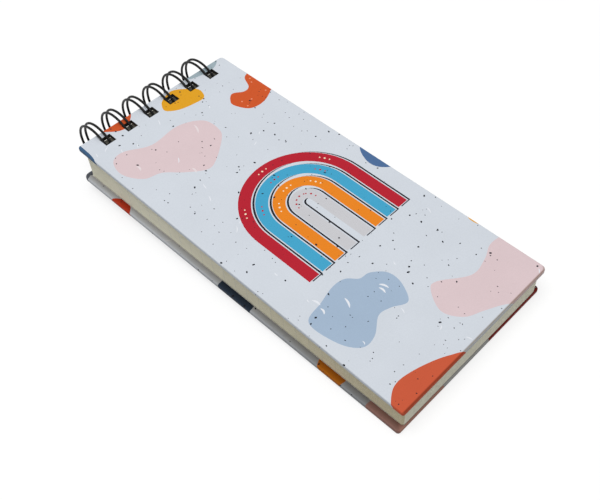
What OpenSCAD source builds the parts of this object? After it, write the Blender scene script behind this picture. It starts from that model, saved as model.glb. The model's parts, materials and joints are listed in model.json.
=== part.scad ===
// Pocket notebook: two case-wrapped boards and a block of loose leaves on a twin-loop wire.
// It lies closed on its rear cover. The origin is the centre of the rear cover's outer face,
// +X runs along the binding, +Y points to the binding and +Z up through the block.

/* [Covers] */
// Width of both covers, along the binding
cover_w = 88.9; // [70:0.1:130]
// Length of both covers, fore edge to binding edge
cover_l = 193.5; // [120:0.5:260]
// Corner radius of the covers, seen from above
cover_corner = 1; // [1:0.5:6]
// Thickness of the bare board inside a cover
board_t = 1.75; // [1:0.05:3]
// Thickness of the printed paper wrapped round a board
wrap_t = 0.15; // [0.1:0.05:0.3]
// Width of the wrap's turn-in on the inner side
turn_in = 15; // [11:0.5:25]
// Thickness of the paper lining the inner side
liner_t = 0.15; // [0.1:0.05:0.3]
// Distance from the cover's edges to the lining's edges
liner_inset = 3; // [1:0.25:5]

/* [Leaves] */
// Number of leaves in each of the three stacks under the front cover
front_stack_n = 8; // [2:1:14]
// Number of leaves in each of the three stacks on the rear cover
rear_stack_n = 12; // [2:1:18]
// Thickness of one leaf
leaf_t = 0.11; // [0.08:0.01:0.2]
// Air between one leaf and the next
leaf_air = 0.02; // [0.02:0.01:0.06]
// Distance from the rear cover's side edges to the leaves' side edges
leaf_side_inset = 3; // [0.5:0.1:4]
// Corner radius of the leaves
leaf_corner = 1; // [1:0.5:6]
// Distance from the covers' fore edge to the leaves' fore edge
leaf_fore_inset = 0.5; // [0:0.1:4]
// Paper left between a leaf's holes and its binding edge
leaf_margin = 2.6; // [1.5:0.1:4]

/* [Binding] */
// Distance from one twin loop to the next
loop_pitch = 12.7; // [10:0.1:14]
// Number of twin loops
loop_n = 6; // [4:1:8]
// Inner diameter of the closed loops
loop_bore = 25.4; // [22:0.2:30]
// Diameter of the coated wire
wire_d = 1.2; // [0.9:0.05:1.6]
// Distance between the two strands of a loop, centre to centre
strand_gap = 2.8; // [2.4:0.1:3.4]
// Radius of the bend from a strand into the spine
root_bend = 1.4; // [1.2:0.1:2]
// Distance that the loops' centre line stands off the front cover's binding edge
axis_out = 2; // [1.5:0.1:4]
// Angle by which the loops hold the front cover off the rear one, with the fore edges closed
lift = 1.7; // [0:0.05:2.5]
// Board left between the front cover's holes and its binding edge
hole_margin = 3.55; // [2.6:0.05:5]
// Sideways room on either side of a pair of strands in its hole
hole_play = 0.9; // [0.4:0.05:1.2]
// Least room between wire and hole, across the wire
hole_clear = 0.25; // [0.2:0.05:0.5]
// Least room beside a strand, where the covers have slipped against the wire
slip_clear = 0.05; // [0.05:0.05:0.3]
// Angle round the loops from level to the spine that joins them, behind the rear cover
spine_angle = 55; // [40:1:60]
// Gap left in the closed loops between the spine and the tips
seam_gap = 1.6; // [0.8:0.1:3]

/* [Hidden] */

// Thicknesses and heights of the closed stack, at the fore edge
stacks = 3;
single_n = 10;
first_single = stacks * front_stack_n + 1;
first_rest = first_single + single_n;
leaf_n = first_rest - 1 + stacks * rear_stack_n;
leaf_step = leaf_t + leaf_air;
cover_t = board_t + 2 * wrap_t + liner_t;
block_t = leaf_n * leaf_step + leaf_air;
front_z = cover_t + block_t;

// Loops: centre line radius, and the radii that bound the room round the wire
wire_r = wire_d / 2;
loop_r = (loop_bore + wire_d) / 2;
room_in = loop_r - wire_r - hole_clear;
room_out = loop_r + wire_r + hole_clear;
function reach(radius, height) = sqrt(radius * radius - height * height);

// Heights are taken from the loops' centre line: it hangs where the wire clears the front cover's edge strip
front_top = reach(room_in, hole_margin + axis_out);
front_under = front_top - cover_t;

// The centre line seen from the fore edge, along the lifted front cover and square to it
axis_u = cover_l + axis_out;
axis_w = -front_under;
axis_run = axis_u * cos(lift) - axis_w * sin(lift);
axis_z = front_z + axis_u * sin(lift) + axis_w * cos(lift);

// Holes: distance behind the centre line of the ends nearer to and further from the binding edge
hole_w = strand_gap + wire_d + 2 * hole_play;
front_hole = [hole_margin + axis_out, reach(room_out, front_under)];
hole_l = front_hole[1] - front_hole[0];
rear_hole_far = reach(room_out, max(axis_z - cover_t, 0));
rear_hole = [rear_hole_far - hole_l, rear_hole_far];
leaf_slack = front_top * sin(lift);
leaf_hole = [reach(room_in, front_under) - leaf_slack, room_out + leaf_slack];

// Lengths: the fore edges are flush, and the loops' curve sets the leaves back from the covers' binding edges
leaf_w = cover_w - 2 * leaf_side_inset;
rear_edge = axis_run - cover_l;
fore_y = -cover_l / 2;
axis_y = fore_y + axis_run;
leaf_edge = leaf_hole[0] - leaf_margin;
leaf_l = axis_run - leaf_edge - leaf_fore_inset;
liner_corner = max(cover_corner - liner_inset, 0.5);

// Sideways rest: the loose binding lets the front cover slip one way and the rest the other
slip = hole_play - slip_clear;
wire_x = slip;
front_x = 2 * slip;

// Colours of the pieces
print_colour = "#d0d5de";
board_colour = "#a39a8c";
liner_colour = "#eceae2";
leaf_colour = "#f1ecd9";
wire_colour = "#1c1c1e";

// Points of a rectangle with rounded corners, drawn with flats so that thin leaves stay flat-sided
leaf_corner_steps = 4;
function rounded_points(w, l, r, steps) = [
    for (corner = [0:3])
        for (step = [0:steps])
            let (turn = 90 * corner + 90 * step / steps)
            let (sx = (corner == 0 || corner == 3) ? 1 : -1)
            let (sy = corner < 2 ? 1 : -1)
            [sx * (w / 2 - r) + r * cos(turn), sy * (l / 2 - r) + r * sin(turn)]
];

// Flat plate with round corners, its binding edge at y = 0 and its lower face at z = 0
module plate(w, l, t, r) {
    translate([0, -l / 2, 0])
        linear_extrude(t)
            union() {
                square([w - 2 * r, l], center = true);
                square([w, l - 2 * r], center = true);
                for (sx = [-1, 1])
                    for (sy = [-1, 1])
                        translate([sx * (w / 2 - r), sy * (l / 2 - r)])
                            circle(r, $fn = 48);
            }
}

// Row of rectangular holes, as a flat pattern behind the loops' centre line
module hole_row(hole) {
    for (i = [0 : loop_n - 1])
        translate([(i - (loop_n - 1) / 2) * loop_pitch - hole_w / 2, -hole[1]])
            square([hole_w, hole[1] - hole[0]]);
}

// Cutter for a cover's row of holes, through the whole cover
module cover_punch(hole, edge) {
    translate([0, edge, -1])
        linear_extrude(cover_t + 2)
            hole_row(hole);
}

// One cover's three pieces, outer face at z = 0, binding edge at y = 0
module cover_board(hole, edge) {
    difference() {
        translate([0, -wrap_t, wrap_t])
            plate(cover_w - 2 * wrap_t, cover_l - 2 * wrap_t, board_t, cover_corner - wrap_t);
        cover_punch(hole, edge);
    }
}

module cover_wrap(hole, edge) {
    shell_t = board_t + 2 * wrap_t;
    difference() {
        plate(cover_w, cover_l, shell_t, cover_corner);
        translate([0, -wrap_t, wrap_t])
            plate(cover_w - 2 * wrap_t, cover_l - 2 * wrap_t, board_t, cover_corner - wrap_t);
        translate([-cover_w / 2 + turn_in, -cover_l + turn_in, wrap_t])
            cube([cover_w - 2 * turn_in, cover_l - 2 * turn_in, shell_t]);
        cover_punch(hole, edge);
    }
}

module cover_liner(hole, edge) {
    shell_t = board_t + 2 * wrap_t;
    difference() {
        union() {
            translate([0, -liner_inset, shell_t])
                plate(cover_w - 2 * liner_inset, cover_l - 2 * liner_inset, liner_t, liner_corner);
            translate([-cover_w / 2 + turn_in, -cover_l + turn_in, shell_t - wrap_t])
                cube([cover_w - 2 * turn_in, cover_l - 2 * turn_in, wrap_t + liner_t / 2]);
        }
        cover_punch(hole, edge);
    }
}

// Places a cover's piece on the stack: the rear one lies as drawn, the front one face up and lifted
module at_rear() {
    translate([0, axis_y - rear_edge, 0])
        children();
}

module at_front() {
    translate([front_x, fore_y, front_z])
        rotate([lift, 0, 0])
            translate([0, cover_l, cover_t])
                mirror([0, 0, 1])
                    children();
}

// Leaves, counted from the top of the block and spread evenly over the lift
module leaf(index) {
    lower_z = cover_t + leaf_air + (leaf_n - index) * leaf_step;
    leaf_lift = lift * (leaf_n + 1 - index) / (leaf_n + 1);
    translate([0, fore_y, lower_z])
        rotate([leaf_lift, 0, 0])
            linear_extrude(leaf_t)
                difference() {
                    translate([0, leaf_fore_inset + leaf_l / 2])
                        polygon(rounded_points(leaf_w, leaf_l, leaf_corner, leaf_corner_steps));
                    translate([0, axis_run])
                        hole_row(leaf_hole);
                }
}

module leaves(first, count) {
    color(leaf_colour)
        for (index = [first : first + count - 1])
            leaf(index);
}

// Twin-loop wire: its path is laid out flat, x along the binding and s round the loops
arc_step = 15;
bend_steps = 3;
tube_sides = 6;
half_gap = strand_gap / 2;
spine_turn = 180 + spine_angle;
seam = (seam_gap + wire_d) / loop_r * 180 / PI;
tip_s = (360 - seam) / 180 * PI * loop_r;
strand_start = root_bend;
strand_end = tip_s - half_gap;
strand_steps = ceil((strand_end - strand_start) / loop_r * 180 / PI / arc_step);
function strand_s(k) = strand_start + (strand_end - strand_start) * k / strand_steps;
function loop_x(i) = wire_x + (i - (loop_n - 1) / 2) * loop_pitch;

// One loop: out of the spine, up one strand, round the tip, down the other strand and into the spine
function loop_path(x) = concat(
    [for (k = [0 : bend_steps])
        let (turn = 90 * k / bend_steps)
        [x - half_gap - root_bend + root_bend * sin(turn), root_bend * (1 - cos(turn))]],
    [for (k = [1 : strand_steps - 1]) [x - half_gap, strand_s(k)]],
    [for (k = [0 : 2 * bend_steps])
        let (turn = 90 * k / bend_steps)
        [x - half_gap * cos(turn), strand_end + half_gap * sin(turn)]],
    [for (k = [strand_steps - 1 : -1 : 1]) [x + half_gap, strand_s(k)]],
    [for (k = [bend_steps : -1 : 0])
        let (turn = 90 * k / bend_steps)
        [x + half_gap + root_bend - root_bend * sin(turn), root_bend * (1 - cos(turn))]]
);
flat_path = [for (i = [0 : loop_n - 1]) each loop_path(loop_x(i))];

// The flat path wrapped round the loops' centre line
function turn_at(s) = spine_turn - s / loop_r * 180 / PI;
function outward(s) = [0, cos(turn_at(s)), sin(turn_at(s))];
function wrapped(p) = [p[0], axis_y, axis_z] + loop_r * outward(p[1]);
wire_path = [for (p = flat_path) wrapped(p)];
path_n = len(wire_path);

function unit(v) = v / norm(v);
function heading(k) = unit(wire_path[min(k + 1, path_n - 1)] - wire_path[max(k - 1, 0)]);
function ring(k) =
    let (along = heading(k))
    let (side = unit(cross(along, outward(flat_path[k][1]))))
    let (up = cross(side, along))
    [for (j = [0 : tube_sides - 1])
        let (turn = 360 * (j + 0.5) / tube_sides)
        wire_path[k] + wire_r * (cos(turn) * up + sin(turn) * side)];

// Least gap of the wire to itself, measured between points further apart along the wire than a bend
apart = 4 * strand_gap;
path_s = [
    for (k = 0, run = 0; k < path_n; k = k + 1, run = run + (k < path_n ? norm(wire_path[k] - wire_path[k - 1]) : 0))
        run
];
self_gap = min([
    for (a = [0 : path_n - 1])
        for (b = [a + 1 : path_n - 1])
            if (path_s[b] - path_s[a] > apart) norm(wire_path[a] - wire_path[b])
]) - wire_d;
echo(least_gap_of_wire_to_itself_mm = self_gap);

module binding_wire() {
    points = [for (k = [0 : path_n - 1]) each ring(k)];
    last = (path_n - 1) * tube_sides;
    walls = [
        for (k = [0 : path_n - 2])
            for (j = [0 : tube_sides - 1])
                let (next = (j + 1) % tube_sides)
                let (low = k * tube_sides)
                let (high = low + tube_sides)
                each [[low + j, high + j, high + next], [low + j, high + next, low + next]]
    ];
    start_cap = [for (j = [1 : tube_sides - 2]) [0, j, j + 1]];
    end_cap = [for (j = [1 : tube_sides - 2]) [last, last + j + 1, last + j]];
    color(wire_colour)
        polyhedron(points, concat(walls, start_cap, end_cap));
}

module front_wrap() { color(print_colour) at_front() cover_wrap(front_hole, axis_out); }
module front_board() { color(board_colour) at_front() cover_board(front_hole, axis_out); }
module front_liner() { color(liner_colour) at_front() cover_liner(front_hole, axis_out); }
module rear_wrap() { color(print_colour) at_rear() cover_wrap(rear_hole, rear_edge); }
module rear_board() { color(board_colour) at_rear() cover_board(rear_hole, rear_edge); }
module rear_liner() { color(liner_colour) at_rear() cover_liner(rear_hole, rear_edge); }

front_wrap();
front_board();
front_liner();
leaves(1, front_stack_n);  // leaf_stack_1
leaves(1 + front_stack_n, front_stack_n);  // leaf_stack_2
leaves(1 + 2 * front_stack_n, front_stack_n);  // leaf_stack_3
leaves(first_single, 1);  // leaf_1
leaves(first_single + 1, 1);  // leaf_2
leaves(first_single + 2, 1);  // leaf_3
leaves(first_single + 3, 1);  // leaf_4
leaves(first_single + 4, 1);  // leaf_5
leaves(first_single + 5, 1);  // leaf_6
leaves(first_single + 6, 1);  // leaf_7
leaves(first_single + 7, 1);  // leaf_8
leaves(first_single + 8, 1);  // leaf_9
leaves(first_single + 9, 1);  // leaf_10
leaves(first_rest, rear_stack_n);  // leaf_stack_4
leaves(first_rest + rear_stack_n, rear_stack_n);  // leaf_stack_5
leaves(first_rest + 2 * rear_stack_n, rear_stack_n);  // leaf_stack_6
rear_liner();
rear_board();
rear_wrap();
binding_wire();
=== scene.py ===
"""Looks of a wire-bound pocket notebook.

It has printed wraps, cream leaves, grey boards and a coated twin-loop wire.
"""

import json
import math
import random

import bpy
from mathutils import Matrix, Vector
from mathutils.geometry import delaunay_2d_cdt


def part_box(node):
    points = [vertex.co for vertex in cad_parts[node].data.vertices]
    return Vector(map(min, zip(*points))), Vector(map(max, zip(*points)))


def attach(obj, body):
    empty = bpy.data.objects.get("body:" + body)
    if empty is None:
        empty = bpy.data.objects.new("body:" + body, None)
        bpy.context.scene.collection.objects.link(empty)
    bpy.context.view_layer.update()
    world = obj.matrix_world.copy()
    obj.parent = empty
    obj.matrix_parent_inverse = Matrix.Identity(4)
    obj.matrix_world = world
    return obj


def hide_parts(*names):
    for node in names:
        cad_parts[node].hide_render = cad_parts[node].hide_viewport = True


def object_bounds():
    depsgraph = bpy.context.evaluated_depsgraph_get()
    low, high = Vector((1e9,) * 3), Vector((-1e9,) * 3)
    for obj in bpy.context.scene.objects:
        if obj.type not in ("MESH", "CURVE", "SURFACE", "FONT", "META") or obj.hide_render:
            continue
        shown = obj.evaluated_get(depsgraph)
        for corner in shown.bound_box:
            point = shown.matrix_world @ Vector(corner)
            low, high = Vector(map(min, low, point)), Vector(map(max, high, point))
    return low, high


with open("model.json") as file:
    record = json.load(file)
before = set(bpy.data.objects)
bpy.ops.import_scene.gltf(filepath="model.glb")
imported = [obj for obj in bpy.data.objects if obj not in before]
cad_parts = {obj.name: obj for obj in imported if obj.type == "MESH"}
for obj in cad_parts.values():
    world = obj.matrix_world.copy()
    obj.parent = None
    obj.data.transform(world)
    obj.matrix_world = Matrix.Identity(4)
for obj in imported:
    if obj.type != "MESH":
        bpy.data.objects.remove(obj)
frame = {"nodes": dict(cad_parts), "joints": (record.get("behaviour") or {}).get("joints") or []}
cad_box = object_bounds()

MM = 0.001

# Sizes of the construction that the frame doesn't name, in millimetres, and its angles in degrees
EDGE_ROOM = 2
WRAP_T = 0.15
TURN_IN = 15
LINER_INSET = 3
LEAF_COUNT = 70
LEAF_STEP = 0.13
LIFT = 1.7
LOOP_COUNT = 6
LOOP_PITCH = 12.7
LOOP_BORE = 25.4
WIRE_D = 1.2
STRAND_GAP = 2.8
ROOT_BEND = 1.4
SEAM_GAP = 1.6
SPINE_TURN = 235

# The row of punched holes: half its width, how far behind the loops' axis its walls lie in covers and leaves,
# and the level of the painted shade on them
HOLE_ROW_HALF = 38
COVER_HOLE_REACH = (5, 16)
LEAF_HOLE_REACH = (6.1, 16)
HOLE_LEVEL = 0.12

# A face counts as turned along an axis when its normal's share there is over a half, and no share reaches 2
FACING_SHARE = 0.5
ANY_FACING = 2.0

# Corner radii of the wrapped boards, counter-clockwise from the far right, as handling has rounded them
FRONT_CORNERS = (2, 1.4, 1.1, 2.3)
REAR_CORNERS = (2, 2.8, 1.3, 1.6)

# The wrap's folds round the edges of a board, the slack in telling a fold from the flat,
# the lining's corners, and how near two points of a cut sheet are one
FOLD_R = 0.45
FOLD_STEPS = 3
CORNER_STEPS = 6
FOLD_SLACK = 0.01
LINER_CORNER = 0.5
CUT_REACH = 1e-4

# The turn-ins join the sheet where their points meet, and are cut apart along the mitres
SEAM_REACH = 0.002
MITRE_GAP = 0.1

# Painted shade round the wraps' edges, darker along the folds, the sides and the turn-ins: its tint,
# its grain and unevenness, the strip beside a fold that it reaches over, its share on the fore folds,
# on the fore sides and the other sides of each cover, and inside from the edge to the lining
EDGE_SHADE_TINT = (0.33, 0.26, 0.18)
EDGE_SHADE_UNEVEN = (1.6, 0.92, 1.0)
FOLD_STRIP = 0.6
FOLD_SHADE = 0.95
FRONT_SIDE_SHADE = (0.25, 0.0)
REAR_SIDE_SHADE = (0.7, 0.3)
INSIDE_SHADE = (0.3, 0.75)

# Painted shade: the long sides of the leaves and of the rear cover grow darker towards the fore:
# where that starts and ends, the tint of the leaves there, the loss of light on the covers
# and each cover's part in it
FORE_SHADE_FROM = 45
FORE_SHADE_TO = -80
FORE_SHADE_TINT = (0.72, 0.66, 0.54)
FORE_SHADE_LOSS = 0.54
FRONT_FORE_SHADE = 0
REAR_FORE_SHADE = 1

# The outermost leaves at either end of the block, whose edges lie in the creases beside the covers:
# their count, and the painted shade that darkens their edges
CREASE_LEAVES = 4
CREASE_SHADE = 0.5

# Faint rules on the leaves: pitch, width and how far up the first one lies
RULE_PITCH = 7
RULE_W = 0.22
RULE_HEAD = 72

# Finishes. A speckle is a grain in millimetres and the levels that its noise spreads over,
# a bump is a grain and a depth in millimetres and a strength
NOISE_MIDDLE = (0.3, 0.7)
PRINT_CLOUDS = (18, 0.985, 1.015)
PRINT_MOTTLE = (0.5, 0.975, 1.02)
PRINT_ROUGHNESS = (1.2, 0.5, 0.6)
PRINT_GLOSS = 0.12
PRINT_BUMP = (0.35, 0.01, 0.25)
LEAF_TONES = (0.9, 1.06)
LEAF_FIBRES = (0.6, 0.985, 1.015)
LEAF_ROUGHNESS = (0.8, 0.82, 0.92)
LEAF_BUMP = (0.25, 0.01, 0.3)
PAPER_GLOSS = 0.25
FIBRE_DETAIL = 6.0
FIBRE_BUMP = (0.03, 0.4)
ROUGHNESS_GRAIN = 1.0
ROUGHNESS_SPREAD = 0.05
WIRE_TONES = (2.5, 0.8, 1.25)
WIRE_ROUGHNESS = (0.9, 0.3, 0.42)
WIRE_GLOSS = 0.14
WIRE_BUMP = (0.3, 0.006, 0.2)
FLOOR_MOTTLE = (60, 0.995, 1.005)

# Grain, contrast and roughness of the boards and the linings
BOARD_FIBRES = (0.4, 0.14, 0.88)
LINER_FIBRES = (0.5, 0.025, 0.85)

# Camera of the photograph: place in millimetres, turn in degrees, lens and sensor width in millimetres
CAMERA_PLACE = (-157.8, -173.3, 271.9)
CAMERA_TURN = (39.31, 2.335, -45.563)
CAMERA_LENS = 48.65
SENSOR_W = 36
CLIP_START = 0.01

# Stage, in metres: the lamp, the sky's level, and the floor's glow, which rises to white with distance
KEY_PLACE = (-0.14, 0.06, 1.09)
KEY_SIZE = 0.8
KEY_POWER = 6.3
SKY_LEVEL = 0.55
FLOOR_HALF = 4.0
FLOOR_GLOW = 0.73
FLOOR_NEAR = 0.5
FLOOR_FAR = 1.6

# Printed and paper colours, as they look on screen
COLOURS = {
    "ground": (209, 215, 223),
    "blush": (219, 198, 201),
    "haze": (162, 182, 204),
    "coral": (200, 88, 57),
    "flame": (204, 85, 37),
    "mustard": (223, 160, 30),
    "ember": (196, 58, 28),
    "amber": (236, 135, 6),
    "brick": (150, 30, 18),
    "navy": (44, 60, 80),
    "denim": (76, 108, 152),
    "teal": (60, 92, 126),
    "slate": (158, 175, 183),
    "ink": (26, 27, 36),
    "rose": (214, 163, 152),
    # Painted shade: a dark grey standing for the shadow in the rear's corner by the binding
    "corner_shade": (98, 104, 116),
    "white": (230, 233, 239),
    "pearl": (228, 216, 218),
    "peach": (240, 152, 120),
    "crimson": (180, 28, 46),
    "sky": (66, 163, 201),
    "orange": (232, 132, 28),
    "silver": (200, 200, 204),
    "cream": (245, 226, 196),
}
LEAF_COLOUR = (244, 240, 221)
LEAF_EDGE_COLOUR = (249, 247, 227)
RULE_COLOUR = (190, 196, 204)
LINER_COLOUR = (236, 233, 224)
BOARD_COLOUR = (150, 142, 130)
WIRE_COLOUR = (9, 9, 10)
FLOOR_COLOUR = (150, 150, 150)

# Patches of the print on the front, each a closed curve through a few points from the cover's centre
FRONT_PATCHES = [
    ("blush", [(-41, 68), (-39, 77), (-32, 79), (-20, 73), (-4, 74), (7, 68), (8, 58), (4, 52), (-7, 44),
               (-13, 43), (-21, 49), (-28, 56), (-36, 59)]),
    ("blush", [(-1, -79), (4, -70), (9, -69), (21, -77), (31, -76), (40, -73), (52, -77), (56, -92),
               (48, -106), (30, -106), (20, -96), (11, -91), (3, -87)]),
    ("haze", [(-40, -46), (-30, -43), (-21, -41), (-15, -42), (-11, -46), (-6, -47), (-1, -52), (-1, -59),
              (-6, -67), (-13, -64), (-19, -63), (-27, -68), (-34, -68), (-39, -60)]),
    ("flame", [(54, 81), (45, 78), (41, 76), (38, 70), (34, 69), (29, 72), (25, 69), (24, 65), (28, 58),
               (36, 57), (45, 61), (54, 66)]),
    ("flame", [(-31, 99), (-28, 94), (-24, 91), (-20, 91), (-14, 96), (-12, 102), (-22, 107)]),
    ("coral", [(-9, -99), (-15, -93), (-28, -88), (-38, -87), (-46, -92), (-54, -99), (-48, -108),
               (-28, -107)]),
    ("mustard", [(0, 90), (3, 93), (10, 95), (16, 91), (20, 86), (18, 80), (12, 80), (4, 82), (-1, 86)]),
    ("mustard", [(52, -55), (45, -57), (43.6, -60), (45, -64), (52, -66)]),
    ("denim", [(52, 6), (44, 3), (40, -4), (40, -10), (44, -15), (52, -19)]),
    ("teal", [(-43, 104), (-43, 96), (-43.2, 89), (-44, 84.5), (-46, 82.5), (-52, 84), (-58, 92),
              (-52, 106)]),
    ("slate", [(17, 100), (22, 95), (29, 93), (36, 93), (41, 97), (40, 104), (22, 106)]),
]

# Patches on the rear, placed where its margin and edges show beside the leaves; the grey one in the corner by
# the binding is painted shade
REAR_PATCHES = [
    ("ember", [(-49.6, 69), (-48.6, 72), (-46, 74.5), (-41, 75), (-37, 70), (-39, 62), (-45, 61),
               (-48.4, 63.5), (-49.6, 66)]),
    ("navy", [(-54, -8), (-51, 1), (-44, 1), (-37, -3), (-35, -10), (-41, -17), (-50, -17)]),
    ("amber", [(-62, -61), (-56, -53), (-50, -54), (-44.4, -57), (-41, -62), (-44.4, -67.2), (-50, -68.5),
               (-56, -69)]),
    ("rose", [(-56, -92), (-51, -82), (-44, -81), (-34, -86), (-23, -89), (-18, -98), (-24, -108),
              (-48, -110)]),
    # Painted shade in the corner by the binding, not print
    ("corner_shade", [(-49, 95), (-44, 93), (-38, 94), (-35, 101), (-42, 107), (-51, 102)]),
    ("brick", [(10, -97), (15, -88), (28, -83), (42, -88), (47, -96), (44, -105), (28, -109), (14, -105)]),
    ("haze", [(-6, 32), (0, 42), (10, 49), (22, 46), (31, 37), (32, 27), (22, 21), (11, 26), (2, 23)]),
    ("blush", [(-22, -22), (-12, -14), (2, -16), (12, -24), (9, -36), (-4, -42), (-14, -36), (-24, -34)]),
    ("mustard", [(20, 78), (29, 81), (37, 75), (33, 67), (22, 68)]),
    ("denim", [(54, -48), (45, -43), (37, -48), (38, -57), (45, -61), (54, -60)]),
    ("slate", [(-14, 100), (-10, 90), (2, 86), (10, 91), (13, 101), (0, 108)]),
]

# Flecks of ink over the whole sheet and strokes of white over its pale patches, under the stronger ones:
# their numbers, sizes and spreads, the seeds of each cover's draws and how far past the turn-ins they go
PALE_PATCHES = ("blush", "haze")
FRONT_SEED = 4
REAR_SEED = 104
SCATTER_MARGIN = 3
FLECK_COUNT = 620
FLECK_SIDES = 6
FLECK_LONG = (1, 1.7)
FLECK_ROUGH = (0.75, 1.15)
FLECK_R = (0.14, 0.28)
BIG_FLECK_SHARE = 0.22
BIG_FLECK_R = (0.32, 0.5)
STROKE_COUNT = 50
STROKE_L = (1.6, 3.6)
STROKE_W = 0.42
STROKE_TURN = 66
STROKE_SPREAD = 22
STROKE_BOW = 0.35
STROKE_STATIONS = (-0.96, -0.5, 0, 0.5, 0.96)

# The bolder strokes on and beside the front's pale patches, each from end to end,
# and the dots on a strong one
BOLD_STROKES = [
    ("white", (-7.8, -53.4), (-6.4, -57.4)),
    ("white", (-9, -54.4), (-9.2, -58)),
    ("white", (-22, -48), (-24, -52.6)),
    ("white", (-31.6, -39.6), (-31, -43.6)),
    ("white", (-32, -44.6), (-33, -47.6)),
    ("pearl", (2, 69), (-0.2, 63.4)),
    ("pearl", (-33.2, 67.6), (-33.8, 63.8)),
    ("pearl", (-17, 48.6), (-17.4, 45)),
]
BOLD_STROKE_W = 0.9
BOLD_STROKE_BOW = 0.5
PATCH_DOTS = [(42.6, 74), (41.2, 71.4), (41.8, 62), (28.4, 64.4), (28.2, 60.2), (32.8, 62.4)]
PATCH_DOT_R = 0.42

# Arches printed on the front: centre, outer radius, bands, the foot of their legs, and the shift of the shade
# with the share of it that stays pale; then the rows of dots, whose outer dots are smaller
ARCH_CENTRE = (4, -3)
ARCH_R = 30
ARCH_BAND = 5.6
ARCH_GAP = 1.8
ARCH_FOOT = -33
ARCH_STEPS = 28
ARCH_SHADE = (1.3, -0.8)
ARCH_PALE_SHARE = 0.4
ARCH_BANDS = [("crimson", "cream"), ("sky", "crimson"), ("orange", "cream"), ("silver", "crimson")]
DOT_R = 0.5
DOT_SPACING = 2.3
DOT_ANGLES = (28, 92, 148)
SMALL_DOT_SHARE = 0.75


def linear(colour):
    """An on-screen colour of 0 to 255 as linear light."""
    shares = [channel / 255 for channel in colour]
    return [s / 12.92 if s <= 0.04045 else ((s + 0.055) / 1.055) ** 2.4 for s in shares]


# Outlines of the print


def smooth_loop(points, steps=7):
    """A closed curve through the points, as a finer list of points."""
    count = len(points)
    curve = []
    for k in range(count):
        a, b, c, d = (Vector(points[(k + j) % count]) for j in (-1, 0, 1, 2))
        for step in range(steps):
            t = step / steps
            bend = (2 * a - 5 * b + 4 * c - d) * t * t + (3 * b - a - 3 * c + d) * t ** 3
            curve.append(b + ((c - a) * t + bend) / 2)
    return curve


def circle(centre, radius, steps=8):
    """A circle as a list of points."""
    turns = [math.tau * k / steps for k in range(steps)]
    return [(centre[0] + radius * math.cos(t), centre[1] + radius * math.sin(t)) for t in turns]


def arch(outer, inner, shift=(0, 0)):
    """Outline of one plain arch with straight legs."""
    x, y = ARCH_CENTRE[0] + shift[0], ARCH_CENTRE[1] + shift[1]
    turns = [math.pi * k / ARCH_STEPS for k in range(ARCH_STEPS + 1)]
    over = [(x + outer * math.cos(t), y + outer * math.sin(t)) for t in turns]
    under = [(x + inner * math.cos(t), y + inner * math.sin(t)) for t in reversed(turns)]
    foot = ARCH_FOOT + shift[1]
    return [(x + outer, foot), *over, (x - outer, foot), (x - inner, foot), *under, (x + inner, foot)]


def arch_shapes():
    """The arches with the thin shade beside each band and rows of dots on it."""
    shapes = []
    for k, (band, dots) in enumerate(ARCH_BANDS):
        outer = ARCH_R - k * (ARCH_BAND + ARCH_GAP)
        inner = outer - ARCH_BAND
        pale_shift = [part * ARCH_PALE_SHARE for part in ARCH_SHADE]
        shapes.append(("ink", arch(outer, inner, ARCH_SHADE)))
        shapes.append(("ground", arch(outer, inner, pale_shift)))
        shapes.append((band, arch(outer, inner)))
        middle = (outer + inner) / 2
        for angle in DOT_ANGLES:
            for j in (-1, 0, 1):
                turn = math.radians(angle) + j * DOT_SPACING / middle
                x = ARCH_CENTRE[0] + middle * math.cos(turn)
                y = ARCH_CENTRE[1] + middle * math.sin(turn)
                shapes.append((dots, circle((x, y), DOT_R if j == 0 else DOT_R * SMALL_DOT_SHARE)))
    return shapes


def stroke(middle, along, length, width, bow):
    """Outline of a short stroke, bowed and drawn out to thin ends."""
    across = Vector((-along.y, along.x))
    spine = [(t, bow * (1 - t * t), width / 2 * math.sqrt(1 - t * t)) for t in STROKE_STATIONS]
    sides = [(t, b - w) for t, b, w in spine] + [(t, b + w) for t, b, w in reversed(spine)]
    return [middle + along * (t * length / 2) + across * b for t, b in sides]


def accents():
    """The bolder strokes and the dots on the front's patches."""
    shapes = []
    for colour, start, end in BOLD_STROKES:
        middle = (Vector(start) + Vector(end)) / 2
        way = Vector(end) - Vector(start)
        outline = stroke(middle, way.normalized(), way.length, BOLD_STROKE_W, BOLD_STROKE_BOW)
        shapes.append((colour, outline))
    return shapes + [("peach", circle(dot, PATCH_DOT_R)) for dot in PATCH_DOTS]


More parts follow.
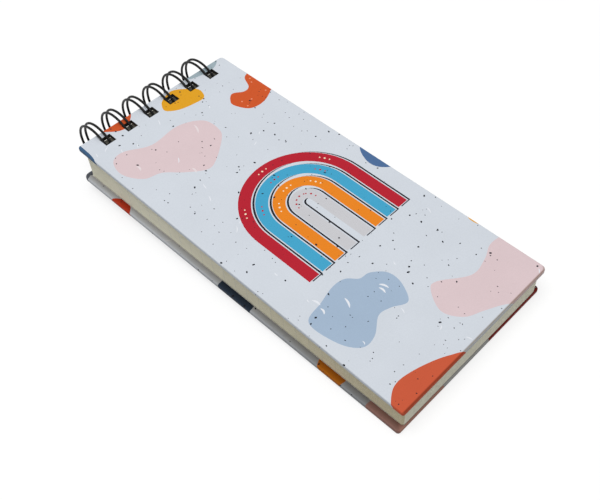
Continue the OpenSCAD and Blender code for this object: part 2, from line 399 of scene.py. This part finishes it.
def scattered(draw, half_w, half_l):
    """Strokes of white and flecks of ink, scattered over the sheet and its turn-ins."""
    reach_x = half_w + TURN_IN + SCATTER_MARGIN
    reach_y = half_l + TURN_IN + SCATTER_MARGIN
    strokes, flecks = [], []
    for _ in range(STROKE_COUNT):
        x, y = draw.uniform(-reach_x, reach_x), draw.uniform(-reach_y, reach_y)
        turn = math.radians(draw.gauss(STROKE_TURN, STROKE_SPREAD))
        length = draw.uniform(*STROKE_L)
        bow = draw.uniform(-STROKE_BOW, STROKE_BOW)
        along = Vector((math.cos(turn), math.sin(turn)))
        strokes.append(("white", stroke(Vector((x, y)), along, length, STROKE_W, bow)))
    for _ in range(FLECK_COUNT):
        x, y = draw.uniform(-reach_x, reach_x), draw.uniform(-reach_y, reach_y)
        radius = draw.uniform(*(BIG_FLECK_R if draw.random() < BIG_FLECK_SHARE else FLECK_R))
        long = draw.uniform(*FLECK_LONG)
        turn = draw.uniform(0, math.pi)
        along = Vector((math.cos(turn), math.sin(turn)))
        across = Vector((-math.sin(turn), math.cos(turn)))
        outline = []
        for px, py in circle((0, 0), radius, FLECK_SIDES):
            way = along * (px * long) + across * py
            outline.append(Vector((x, y)) + way * draw.uniform(*FLECK_ROUGH))
        flecks.append(("ink", outline))
    return strokes, flecks


# Sheets of paper, cut along their creases and print


def counter_clockwise(loop):
    """The loop, turned round if it runs clockwise."""
    area = sum(a[0] * b[1] - b[0] * a[1] for a, b in zip(loop, [*loop[1:], loop[0]]))
    return list(loop) if area > 0 else list(reversed(loop))


def holds(loop, point):
    """Whether the point lies inside the loop."""
    inside = False
    for (ax, ay), (bx, by) in zip(loop, [*loop[1:], loop[0]]):
        if (ay > point.y) != (by > point.y) and point.x < ax + (bx - ax) * (point.y - ay) / (by - ay):
            inside = not inside
    return inside


def cut_sheet(outline, creases, holes, shapes):
    """Points and triangles of a flat sheet, with the colour of the topmost print shape on each triangle."""
    points, edges, faces = [], [], []

    def take(loop):
        ring = list(range(len(points), len(points) + len(loop)))
        points.extend(Vector(p) for p in loop)
        return ring

    for loop in [outline, *holes, *(shape for _, shape in shapes)]:
        faces.append(take(counter_clockwise(loop)))
    for loop in creases:
        ring = take(loop)
        edges.extend(zip(ring, ring[1:] + ring[:1]))
    cut_points, _, triangles, _, _, sources = delaunay_2d_cdt(points, edges, faces, 1, CUT_REACH, True)
    first_shape = 1 + len(holes)
    kept = []
    for triangle, source in zip(triangles, sources):
        if 0 not in source or any(0 < s < first_shape for s in source):
            continue
        middle = sum((cut_points[k] for k in triangle), Vector((0, 0))) / 3
        over = [shapes[s - first_shape] for s in sorted(source) if s >= first_shape]
        colours = [colour for colour, shape in over if holds(shape, middle)]
        kept.append((triangle, colours[-1] if colours else "ground"))
    return cut_points, kept


def rounded_rectangle(half_w, half_l, radii):
    """A rectangle round the origin with a radius for each corner, counter-clockwise from the far right."""
    points = []
    for corner, (sx, sy) in enumerate([(1, 1), (-1, 1), (-1, -1), (1, -1)]):
        radius = radii[corner]
        for k in range(CORNER_STEPS + 1):
            turn = math.radians(90 * (corner + k / CORNER_STEPS))
            x = sx * (half_w - radius) + radius * math.cos(turn)
            points.append((x, sy * (half_l - radius) + radius * math.sin(turn)))
    return points


class Cover:
    """One cover's wrap in its own frame in millimetres, and the way its sheet folds round the board."""

    def __init__(self, wrap, board, outer_up, corners, side_shade, fore_shade, lift=0):
        self.corners = corners
        self.side_shade = side_shade
        self.fore_shade = fore_shade
        self.turn = Matrix.Rotation(math.radians(lift), 3, "X")
        wrap_points = self.own_points(wrap)
        low = Vector([min(p[i] for p in wrap_points) for i in range(3)])
        high = Vector([max(p[i] for p in wrap_points) for i in range(3)])
        self.centre = (low + high) / 2
        self.half_w, self.half_l = (high.x - low.x) / 2, (high.y - low.y) / 2
        self.shell_t = high.z - low.z
        self.outward = 1 if outer_up else -1
        self.outer_z = high.z if outer_up else low.z
        inner = [p for p in self.own_points(board) if low.y + EDGE_ROOM < p.y < high.y - EDGE_ROOM]
        self.hole_y = min(p.y for p in inner) - self.centre.y, max(p.y for p in inner) - self.centre.y
        columns = [p.x for p in inner if low.x + EDGE_ROOM < p.x < high.x - EDGE_ROOM]
        self.hole_w = max(columns) - min(columns) - (LOOP_COUNT - 1) * LOOP_PITCH
        self.arc = FOLD_R * math.pi / 2
        self.side = self.shell_t - 2 * FOLD_R
        self.run = 2 * self.arc + self.side

    def own_points(self, node):
        """A solid's corners with the cover laid level."""
        level = self.turn.transposed()
        return [level @ v.co / MM for v in frame["nodes"][node].data.vertices]

    def holes(self):
        """The outlines of the punched holes."""
        low_y, high_y = self.hole_y
        loops = []
        for k in range(LOOP_COUNT):
            middle = (k - (LOOP_COUNT - 1) / 2) * LOOP_PITCH
            left, right = middle - self.hole_w / 2, middle + self.hole_w / 2
            loops.append([(left, low_y), (right, low_y), (right, high_y), (left, high_y)])
        return loops

    def creases(self):
        """Runs along the sheet, from where it leaves the flat to where it is flat again."""
        bends = [self.arc * k / FOLD_STEPS for k in range(FOLD_STEPS + 1)]
        return bends + [self.arc + self.side + run for run in bends]

    def outline(self, out):
        """The cover's outline, moved outward by that much."""
        radii = [radius + out for radius in self.corners]
        return rounded_rectangle(self.half_w + out, self.half_l + out, radii)

    def ring(self, run):
        """The crease line at that run, on the flat sheet."""
        return self.outline(run - FOLD_R)

    def run_at(self, point):
        """The run at a point of the flat sheet, its way out from the board's core, the core's nearest point,
        and the radius of the nearest corner."""
        right, far = point.x > 0, point.y > 0
        radius = self.corners[(0 if right else 1) if far else (3 if right else 2)]
        core = Vector((self.half_w - radius, self.half_l - radius))
        nearest = Vector((max(-core.x, min(core.x, point.x)), max(-core.y, min(core.y, point.y))))
        away = point - nearest
        return away.length - radius + FOLD_R, away, nearest, radius

    def edge_shade_at(self, point):
        """The share of the painted edge shade at a point of the flat sheet: most along the fore fold."""
        run, away, _, _ = self.run_at(point)
        fore_side, other_side = self.side_shade
        if run <= -FOLD_STRIP:
            return 0.0
        if run <= 0:
            share = FOLD_SHADE * (1 + run / FOLD_STRIP)
        else:
            share = fore_side + (FOLD_SHADE - fore_side) * max(1 - run / self.arc, 0)
        fore = max(-away.normalized().y, 0)
        other = other_side * min(max(run / self.arc, 0), 1)
        return other + (share - other) * fore

    def inside_shade_at(self, point):
        """The same painted shade on the turn-ins, from the edge to the lining."""
        depth = min(self.half_w - abs(point.x), self.half_l - abs(point.y))
        low, high = INSIDE_SHADE
        return low + (high - low) * min(depth / LINER_INSET, 1)

    def side_share(self, point):
        """How fully a point of the flat sheet takes part in the painted shade of the long sides."""
        run, away, _, _ = self.run_at(point)
        return self.fore_shade * min(max(run / self.arc, 0), 1) * abs(away.normalized().x)

    def folded(self, point):
        """Where a point of the flat sheet comes to lie on the wrapped board."""
        run, away, nearest, radius = self.run_at(point)
        if run <= 0:
            return self.placed(point, 0)
        if run <= self.arc:
            turn = run / FOLD_R
            out, depth = FOLD_R * math.sin(turn), FOLD_R * (1 - math.cos(turn))
        elif run <= self.arc + self.side:
            out, depth = FOLD_R, FOLD_R + run - self.arc
        else:
            turn = (run - self.arc - self.side) / FOLD_R
            out, depth = FOLD_R * math.cos(turn), self.shell_t - FOLD_R * (1 - math.sin(turn))
        return self.placed(nearest + away.normalized() * (radius - FOLD_R + out), depth)

    def placed(self, point, depth):
        """A point of the cover at that depth below its outer face, in the scene."""
        height = self.outer_z - self.outward * depth
        level = Vector((point.x + self.centre.x, point.y + self.centre.y, height))
        return self.turn @ level * MM

    def flaps(self):
        """The four turn-ins, mitred at the corners: each one's outline on the inner side, and how a point of
        the flat sheet is mirrored on to it."""
        edge_w, edge_l = self.half_w - FOLD_R, self.half_l - FOLD_R
        rim = self.outline(-FOLD_R)
        inner_w, inner_l = self.half_w - TURN_IN, self.half_l - TURN_IN
        inner = [(inner_w, inner_l), (-inner_w, inner_l), (-inner_w, -inner_l), (inner_w, -inner_l)]
        step, half = CORNER_STEPS + 1, CORNER_STEPS // 2
        across_w, across_l = 2 * edge_w + self.run, 2 * edge_l + self.run
        mirrors = [
            lambda p: (p[0], across_l - p[1]),
            lambda p: (-across_w - p[0], p[1]),
            lambda p: (p[0], -across_l - p[1]),
            lambda p: (across_w - p[0], p[1]),
        ]
        for side, mirror in enumerate(mirrors):
            start = side * step + half
            edge = [rim[(start + k) % len(rim)] for k in range(step + 1)]
            shrink_x = 1 - MITRE_GAP / inner_w if side % 2 == 0 else 1
            shrink_y = 1 - MITRE_GAP / inner_l if side % 2 == 1 else 1
            ends = [(x * shrink_x, y * shrink_y) for x, y in (inner[(side + 1) % 4], inner[side])]
            yield [*edge, *ends], mirror


def overlaps(shape, outline):
    """Whether two loops' boxes meet."""
    return all(
        min(p[i] for p in shape) < max(p[i] for p in outline)
        and max(p[i] for p in shape) > min(p[i] for p in outline)
        for i in (0, 1)
    )


def build_wrap(name, cover, patches, seed, extra=()):
    """The printed wrap as one object: the outer sheet folded round the edges, and its four turn-ins."""
    patches = [(colour, smooth_loop(points)) for colour, points in patches]
    strokes, flecks = scattered(random.Random(seed), cover.half_w, cover.half_l)
    pale = [patch for patch in patches if patch[0] in PALE_PATCHES]
    strong = [patch for patch in patches if patch[0] not in PALE_PATCHES]
    shapes = [*pale, *strokes, *strong, *extra, *flecks]
    points, faces, colours, edge_shades, fore_shade, smooth = [], [], [], [], [], []

    def take(cut, place, flip, edge_shade_at, side_share, bent):
        cut_points, triangles = cut
        start = len(points)
        points.extend(place(p) for p in cut_points)
        edge_shades.extend(edge_shade_at(p) for p in cut_points)
        fore_shade.extend(side_share(p) for p in cut_points)
        for triangle, colour in triangles:
            corners = [start + k for k in triangle]
            faces.append(corners[::-1] if flip else corners)
            colours.append(colour)
            smooth.append(any(bent(cut_points[k]) for k in triangle))

    outline = cover.ring(cover.run)
    rings = [cover.ring(run) for run in [-FOLD_STRIP, *cover.creases()[:-1]]]
    near = [s for s in shapes if overlaps(s[1], outline)]
    take(cut_sheet(outline, rings, cover.holes(), near), cover.folded, cover.outward < 0, cover.edge_shade_at,
         cover.side_share, lambda p: FOLD_SLACK < cover.run_at(p)[0] < cover.run - FOLD_SLACK)
    liner_w, liner_l = cover.half_w - LINER_INSET, cover.half_l - LINER_INSET
    lining = rounded_rectangle(liner_w, liner_l, [LINER_CORNER] * len(cover.corners))
    for flap, mirror in cover.flaps():
        turned = [(colour, [mirror(p) for p in shape]) for colour, shape in shapes]
        near = [s for s in turned if overlaps(s[1], flap)]
        holes = [hole for hole in cover.holes() if overlaps(hole, flap)]
        take(cut_sheet(flap, [lining], holes, near), lambda p: cover.placed(p, cover.shell_t),
             cover.outward > 0, cover.inside_shade_at, lambda p: cover.fore_shade, lambda p: False)
    mesh = bpy.data.meshes.new(name)
    mesh.from_pydata(points, [], faces)
    mesh.polygons.foreach_set("use_smooth", smooth)
    print_layer = mesh.color_attributes.new("print", "FLOAT_COLOR", "CORNER")
    inks = {colour: (*linear(shade), 1) for colour, shade in COLOURS.items()}
    corner_inks = [value for face, colour in zip(faces, colours) for _ in face for value in inks[colour]]
    print_layer.data.foreach_set("color", corner_inks)
    mesh.attributes.new("fold", "FLOAT", "POINT").data.foreach_set("value", edge_shades)
    mesh.attributes.new("fore_shade", "FLOAT", "POINT").data.foreach_set("value", fore_shade)
    mesh.update()
    piece = add_object(name, mesh)
    seams = piece.modifiers.new("seams", "WELD")
    seams.merge_threshold = SEAM_REACH * MM
    thicken(piece, "paper thickness", WRAP_T)
    return piece


def build_board(name, cover):
    """The board inside a wrap: a plate with the cover's corners and holes."""
    points, triangles = cut_sheet(cover.outline(-WRAP_T), [], cover.holes(), [])
    mesh = bpy.data.meshes.new(name)
    faces = [corners if cover.outward > 0 else corners[::-1] for corners, _ in triangles]
    mesh.from_pydata([cover.placed(p, WRAP_T) for p in points], [], faces)
    mesh.update()
    piece = add_object(name, mesh)
    thicken(piece, "board thickness", cover.shell_t - 2 * WRAP_T)
    return piece


def thicken(piece, name, depth):
    """Gives a sheet its thickness, inward from the side that its faces show."""
    thickness = piece.modifiers.new(name, "SOLIDIFY")
    thickness.thickness = depth * MM
    thickness.offset = -1


def add_object(name, data):
    """An object in the scene with that data."""
    made = bpy.data.objects.new(name, data)
    bpy.context.scene.collection.objects.link(made)
    return made


# The wire


def wire_path(centre_x, axis, bend_steps=6, strand_steps=64):
    """Centre line of the twin loops: the path is laid out flat, then wrapped round the loops' axis."""
    loop_r = (LOOP_BORE + WIRE_D) / 2
    half_gap = STRAND_GAP / 2
    seam = (SEAM_GAP + WIRE_D) / loop_r
    strand_end = (math.tau - seam) * loop_r - half_gap
    strand = [ROOT_BEND + (strand_end - ROOT_BEND) * k / strand_steps for k in range(1, strand_steps)]
    quarter = [math.pi / 2 * k / bend_steps for k in range(bend_steps + 1)]
    root = [(half_gap + ROOT_BEND * (1 - math.sin(t)), ROOT_BEND * (1 - math.cos(t))) for t in quarter]
    tip = [math.pi * k / (2 * bend_steps) for k in range(2 * bend_steps + 1)]
    loop = [(-x, s) for x, s in root] + [(-half_gap, s) for s in strand]
    loop += [(-half_gap * math.cos(t), strand_end + half_gap * math.sin(t)) for t in tip]
    loop += [(half_gap, s) for s in reversed(strand)] + [(x, s) for x, s in reversed(root)]
    path = []
    for k in range(LOOP_COUNT):
        x0 = centre_x + (k - (LOOP_COUNT - 1) / 2) * LOOP_PITCH
        for x, s in loop:
            turn = math.radians(SPINE_TURN) - s / loop_r
            outward = Vector((0, math.cos(turn), math.sin(turn)))
            path.append((Vector((x0 + x, axis.y, axis.z)) + outward * loop_r, outward))
    return path


def build_wire(name, path, sides=12):
    """A round tube along the path, with flat ends."""
    points, faces = [], []
    for k, (place, outward) in enumerate(path):
        along = (path[min(k + 1, len(path) - 1)][0] - path[max(k - 1, 0)][0]).normalized()
        side = along.cross(outward).normalized()
        up = side.cross(along)
        for j in range(sides):
            turn = math.tau * j / sides
            points.append((place + (up * math.cos(turn) + side * math.sin(turn)) * (WIRE_D / 2)) * MM)
    for k in range(len(path) - 1):
        for j in range(sides):
            a, b = k * sides + j, k * sides + (j + 1) % sides
            faces.append((a, b, b + sides, a + sides))
    last = (len(path) - 1) * sides
    faces.append(tuple(reversed(range(sides))))
    faces.append(tuple(range(last, last + sides)))
    mesh = bpy.data.meshes.new(name)
    mesh.from_pydata(points, [], faces)
    mesh.polygons.foreach_set("use_smooth", [len(f) == 4 for f in faces])
    mesh.update()
    return add_object(name, mesh)


# Materials


def add(tree, kind, inputs=None, **settings):
    """A node with its settings, its inputs linked where a socket is given and set where a value is."""
    made = tree.nodes.new(kind)
    for key, value in settings.items():
        setattr(made, key, value)
    for key, value in (inputs or {}).items():
        if isinstance(value, bpy.types.NodeSocket):
            tree.links.new(value, made.inputs[key])
        else:
            made.inputs[key].default_value = value
    return made.outputs[0]


def math_node(tree, operation, a, b=0.0):
    """The result of one operation on two values."""
    return add(tree, "ShaderNodeMath", {0: a, 1: b}, operation=operation)


def new_material(name):
    """A material with its node tree and its shader."""
    material = bpy.data.materials.new(name)
    material.use_nodes = True
    tree = material.node_tree
    return material, tree, tree.nodes["Principled BSDF"]


def object_place(tree):
    """The place of the shaded point on its object."""
    return tree.nodes.new("ShaderNodeTexCoord").outputs["Object"]


def parts(tree, vector):
    """The parts of a vector along X, Y and Z."""
    return add(tree, "ShaderNodeSeparateXYZ", {"Vector": vector}).node.outputs


def facing(tree, axis_name):
    """How far a face is turned along that axis of its object, from 0 to 1."""
    normal = tree.nodes.new("ShaderNodeTexCoord").outputs["Normal"]
    return math_node(tree, "ABSOLUTE", parts(tree, normal)[axis_name])


def noise(tree, grain_mm, detail=3.0):
    """Noise from 0 to 1 with grains of about that size."""
    scale = 1 / (grain_mm * MM)
    return add(tree, "ShaderNodeTexNoise", {"Vector": object_place(tree), "Scale": scale, "Detail": detail})


def spread(tree, value, low, high):
    """The middle of a noise's range, spread from low to high."""
    noise_low, noise_high = NOISE_MIDDLE
    ends = {"Value": value, "From Min": noise_low, "From Max": noise_high, "To Min": low, "To Max": high}
    return add(tree, "ShaderNodeMapRange", ends)


def speckle(tree, grain_mm, low, high):
    """Noise with grains of about that size, spread from low to high."""
    return spread(tree, noise(tree, grain_mm), low, high)


def opaque(colour):
    """An on-screen colour as a shader takes it."""
    return (*linear(colour), 1)


def shaded(tree, colour, level):
    """The colour, brought to that level of its light."""
    return add(tree, "ShaderNodeHueSaturation", {"Color": colour, "Value": level})


def mixed(tree, share, a, b):
    """A colour between two others."""
    return add(tree, "ShaderNodeMixRGB", {"Fac": share, "Color1": a, "Color2": b})


def tinted(tree, share, colour, tint):
    """The colour, multiplied by the tint to that share."""
    ends = {"Fac": share, "Color1": colour, "Color2": (*tint, 1)}
    return add(tree, "ShaderNodeMixRGB", ends, blend_type="MULTIPLY")


def finished(tree, shader, colour, roughness, gloss, bump):
    """Puts a colour, a roughness, a gloss and a bump's grain, depth and strength on the shader."""
    tree.links.new(colour, shader.inputs["Base Color"])
    tree.links.new(roughness, shader.inputs["Roughness"])
    shader.inputs["Specular IOR Level"].default_value = gloss
    grain_mm, depth_mm, strength = bump
    relief = {"Height": noise(tree, grain_mm), "Distance": depth_mm * MM, "Strength": strength}
    tree.links.new(add(tree, "ShaderNodeBump", relief), shader.inputs["Normal"])


def hole_shade(tree, axis, reach, whole_row=False):
    """The shade's level: dark on the walls of the punched holes or on the whole row, and 1 elsewhere."""
    place = parts(tree, object_place(tree))
    is_cut = math_node(tree, "LESS_THAN", facing(tree, "Z"), ANY_FACING if whole_row else FACING_SHARE)
    in_row = math_node(tree, "LESS_THAN", math_node(tree, "ABSOLUTE", place["X"]), HOLE_ROW_HALF * MM)
    behind = math_node(tree, "SUBTRACT", axis.y * MM, place["Y"])
    past_edge = math_node(tree, "GREATER_THAN", behind, reach[0] * MM)
    before_end = math_node(tree, "LESS_THAN", behind, reach[1] * MM)
    in_holes = math_node(tree, "MULTIPLY", math_node(tree, "MULTIPLY", is_cut, in_row),
                         math_node(tree, "MULTIPLY", past_edge, before_end))
    return add(tree, "ShaderNodeMapRange", {"Value": in_holes, "To Min": 1.0, "To Max": HOLE_LEVEL})


def toward_fore(tree):
    """0 on the binding's side of the notebook, rising to 1 towards the fore."""
    place = parts(tree, object_place(tree))
    ends = {"Value": place["Y"], "From Min": FORE_SHADE_FROM * MM, "From Max": FORE_SHADE_TO * MM}
    return add(tree, "ShaderNodeMapRange", ends)


def attribute(tree, name):
    """The outputs of a mesh's attribute."""
    made = tree.nodes.new("ShaderNodeAttribute")
    made.attribute_name = name
    return made.outputs


def print_material():
    """Matt laminated print: even ink with a faint mottle, with painted shade round the edges and, on the
    rear, along the long sides towards the fore.
    """
    material, tree, shader = new_material("printed_paper")
    cloudy = shaded(tree, attribute(tree, "print")["Color"], speckle(tree, *PRINT_CLOUDS))
    mottled = shaded(tree, cloudy, speckle(tree, *PRINT_MOTTLE))
    # Painted shade round the folds, sides and turn-ins, tinted brownish and uneven
    edge_shade_share = math_node(tree, "MULTIPLY", attribute(tree, "fold")["Fac"], speckle(tree, *EDGE_SHADE_UNEVEN))
    edge_shaded = tinted(tree, edge_shade_share, mottled, EDGE_SHADE_TINT)
    # Painted shade: the rear's long sides lose light towards the fore
    loss = math_node(tree, "MULTIPLY", math_node(tree, "MULTIPLY", toward_fore(tree), FORE_SHADE_LOSS),
                     attribute(tree, "fore_shade")["Fac"])
    colour = shaded(tree, edge_shaded, math_node(tree, "SUBTRACT", 1.0, loss))
    finished(tree, shader, colour, speckle(tree, *PRINT_ROUGHNESS), PRINT_GLOSS, PRINT_BUMP)
    return material


def leaf_material(name, fore_y, block_z, axis, under_cover=False):
    """Cream paper: each leaf's edge a tone of its own as they fan out, and faint rules across its faces.
    Painted shade darkens the outermost leaves' edges, the long edges towards the fore and the walls of the
    punched holes, or their whole row on the leaves under the front cover.
    """
    material, tree, shader = new_material(name)
    place = parts(tree, object_place(tree))
    run = math_node(tree, "SUBTRACT", place["Y"], fore_y)
    spread_step = math_node(tree, "MULTIPLY", run, math.tan(math.radians(LIFT)) / (LEAF_COUNT + 1))
    step = math_node(tree, "ADD", spread_step, LEAF_STEP * MM)
    height = math_node(tree, "SUBTRACT", place["Z"], block_z)
    layer = math_node(tree, "FLOOR", math_node(tree, "DIVIDE", height, step))
    shade = tree.nodes.new("ShaderNodeTexWhiteNoise")
    shade.noise_dimensions = "1D"
    tree.links.new(layer, shade.inputs["W"])
    dark, light = LEAF_TONES
    tone = add(tree, "ShaderNodeMapRange", {"Value": shade.outputs["Value"], "To Min": dark, "To Max": light})
    fibres = shaded(tree, opaque(LEAF_COLOUR), speckle(tree, *LEAF_FIBRES))
    is_face = math_node(tree, "GREATER_THAN", facing(tree, "Z"), FACING_SHARE)
    is_long_side = math_node(tree, "GREATER_THAN", facing(tree, "X"), FACING_SHARE)
    # Painted shade: the edges of the outermost leaves, in the creases by the covers, are darker
    crease = math_node(tree, "MAXIMUM", math_node(tree, "LESS_THAN", layer, CREASE_LEAVES),
                       math_node(tree, "GREATER_THAN", layer, LEAF_COUNT - 1 - CREASE_LEAVES))
    edge_tone = math_node(tree, "SUBTRACT", tone, math_node(tree, "MULTIPLY", crease, CREASE_SHADE))
    plain_edge = shaded(tree, opaque(LEAF_EDGE_COLOUR), edge_tone)
    # Painted shade: the long edges darker and warmer towards the fore
    fore_shade_share = math_node(tree, "MULTIPLY", toward_fore(tree), is_long_side)
    edge = tinted(tree, fore_shade_share, plain_edge, FORE_SHADE_TINT)
    sheet = mixed(tree, is_face, edge, fibres)
    line = math_node(tree, "FRACT", math_node(tree, "DIVIDE", place["Y"], RULE_PITCH * MM))
    is_line = math_node(tree, "LESS_THAN", line, RULE_W / RULE_PITCH)
    below_head = math_node(tree, "LESS_THAN", place["Y"], RULE_HEAD * MM)
    ruled = math_node(tree, "MULTIPLY", math_node(tree, "MULTIPLY", is_line, below_head), is_face)
    lined = mixed(tree, ruled, sheet, opaque(RULE_COLOUR))
    colour = shaded(tree, lined, hole_shade(tree, axis, LEAF_HOLE_REACH, under_cover))
    finished(tree, shader, colour, speckle(tree, *LEAF_ROUGHNESS), PAPER_GLOSS, LEAF_BUMP)
    return material


def fibre_material(name, colour, grain_mm, contrast, roughness, axis):
    """Uncoated paper or board, with fibres as lighter and darker grains and painted shade on the punched
    holes' walls.
    """
    material, tree, shader = new_material(name)
    grains = spread(tree, noise(tree, grain_mm, FIBRE_DETAIL), 1 - contrast, 1 + contrast)
    fibres = shaded(tree, opaque(colour), grains)
    punched = shaded(tree, fibres, hole_shade(tree, axis, COVER_HOLE_REACH))
    rough = speckle(tree, ROUGHNESS_GRAIN, roughness - ROUGHNESS_SPREAD, roughness + ROUGHNESS_SPREAD)
    finished(tree, shader, punched, rough, PAPER_GLOSS, (grain_mm, *FIBRE_BUMP))
    return material


def wire_material():
    """Satin black coating, a little uneven."""
    material, tree, shader = new_material("black_coating")
    tone = shaded(tree, opaque(WIRE_COLOUR), speckle(tree, *WIRE_TONES))
    finished(tree, shader, tone, speckle(tree, *WIRE_ROUGHNESS), WIRE_GLOSS, WIRE_BUMP)
    return material


def dress(node, material):
    """Gives a CAD node its finish."""
    slots = frame["nodes"][node].data.materials
    slots.clear()
    slots.append(material)


# Stage


def shown_directly(tree):
    """1 for camera, glossy and transmission rays, 0 for the rest."""
    path = tree.nodes.new("ShaderNodeLightPath").outputs
    seen = math_node(tree, "MAXIMUM", path["Is Camera Ray"], path["Is Glossy Ray"])
    return math_node(tree, "MAXIMUM", seen, path["Is Transmission Ray"])


def build_floor(wrap_low, axis):
    """A pale floor under the rear cover's fore edge and the loops, on which the notebook lies tilted."""
    start = Vector((wrap_low.y, wrap_low.z))
    centre = Vector((axis.y * MM, axis.z * MM))
    reach = centre - start
    slope = math.atan2(reach.y, reach.x) - math.asin((LOOP_BORE / 2 + WIRE_D) * MM / reach.length)
    rise = FLOOR_HALF * math.tan(slope)
    sides = [(-1, -1), (1, -1), (1, 1), (-1, 1)]
    corners = [(sx * FLOOR_HALF, start.x + sy * FLOOR_HALF, start.y + sy * rise) for sx, sy in sides]
    mesh = bpy.data.meshes.new("floor")
    mesh.from_pydata(corners, [], [(0, 1, 2, 3)])
    floor = add_object("floor", mesh)
    material, tree, shader = new_material("pale_floor")
    tone = shaded(tree, opaque(FLOOR_COLOUR), speckle(tree, *FLOOR_MOTTLE))
    tree.links.new(tone, shader.inputs["Base Color"])
    shader.inputs["Roughness"].default_value = 1.0
    shader.inputs["Specular IOR Level"].default_value = 0.0
    shader.inputs["Emission Color"].default_value = (1, 1, 1, 1)
    length = add(tree, "ShaderNodeVectorMath", {0: object_place(tree)}, operation="LENGTH").node
    ends = {"Value": length.outputs["Value"], "From Min": FLOOR_NEAR, "From Max": FLOOR_FAR,
            "To Min": FLOOR_GLOW, "To Max": 1.0}
    glow = add(tree, "ShaderNodeMapRange", ends)
    shown_glow = math_node(tree, "MULTIPLY", shown_directly(tree), glow)
    tree.links.new(shown_glow, shader.inputs["Emission Strength"])
    mesh.materials.append(material)


def build_light(target):
    """One large soft lamp almost overhead, a little to the left, and an even sky."""
    lamp = bpy.data.lights.new("key", "AREA")
    lamp.size = KEY_SIZE
    lamp.energy = KEY_POWER
    key = add_object("key", lamp)
    key.location = KEY_PLACE
    key.rotation_euler = (target - key.location).to_track_quat("-Z", "Y").to_euler()
    world = bpy.data.worlds.new("studio")
    bpy.context.scene.world = world
    world.use_nodes = True
    tree = world.node_tree
    sky = tree.nodes["Background"]
    sky.inputs["Color"].default_value = (1, 1, 1, 1)
    ends = {"Value": shown_directly(tree), "To Min": SKY_LEVEL, "To Max": 1.0}
    tree.links.new(add(tree, "ShaderNodeMapRange", ends), sky.inputs["Strength"])


def build_camera():
    """The photograph's camera."""
    data = bpy.data.cameras.new("camera")
    data.lens = CAMERA_LENS
    data.sensor_width = SENSOR_W
    data.clip_start = CLIP_START
    camera = add_object("camera", data)
    camera.location = Vector(CAMERA_PLACE) * MM
    camera.rotation_euler = [math.radians(turn) for turn in CAMERA_TURN]
    bpy.context.scene.camera = camera


# Putting the notebook together

loop_axis = Vector(frame["joints"][0]["pos_m"]) / MM
wire_low, wire_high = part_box("binding_wire")
printed = print_material()

front = Cover("front_wrap", "front_board", True, FRONT_CORNERS, FRONT_SIDE_SHADE, FRONT_FORE_SHADE, lift=LIFT)
front_extra = [*arch_shapes(), *accents()]
front_wrap = build_wrap("front_wrap_print", front, FRONT_PATCHES, FRONT_SEED, front_extra)
rear = Cover("rear_wrap", "rear_board", False, REAR_CORNERS, REAR_SIDE_SHADE, REAR_FORE_SHADE)
rear_wrap = build_wrap("rear_wrap_print", rear, REAR_PATCHES, REAR_SEED)
for piece, node, body in [(front_wrap, "front_wrap", "front_cover"), (rear_wrap, "rear_wrap", "rear_cover")]:
    piece.data.materials.append(printed)
    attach(piece, body)
    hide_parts(node)

board = fibre_material("grey_board", BOARD_COLOUR, *BOARD_FIBRES, loop_axis)
for cover, node, body in [(front, "front_board", "front_cover"), (rear, "rear_board", "rear_cover")]:
    piece = build_board(node + "_rounded", cover)
    piece.data.materials.append(board)
    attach(piece, body)
    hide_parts(node)

wire = build_wire("binding_wire_round", wire_path((wire_low.x + wire_high.x) / 2 / MM, loop_axis))
wire.data.materials.append(wire_material())
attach(wire, "rear_cover")
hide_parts("binding_wire")

leaf_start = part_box("rear_wrap")[0].y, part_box("rear_liner")[1].z
paper = leaf_material("cream_paper", *leaf_start, loop_axis)
first_paper = leaf_material("cream_paper_under_cover", *leaf_start, loop_axis, under_cover=True)
liner = fibre_material("lining_paper", LINER_COLOUR, *LINER_FIBRES, loop_axis)
for name in frame["nodes"]:
    if name.startswith("leaf"):
        dress(name, first_paper if name == "leaf_stack_1" else paper)
    elif name.endswith("liner"):
        dress(name, liner)

build_camera()
build_light((cad_box[0] + cad_box[1]) / 2)
build_floor(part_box("rear_wrap")[0], loop_axis)
bpy.context.scene.view_settings.view_transform = "Standard"
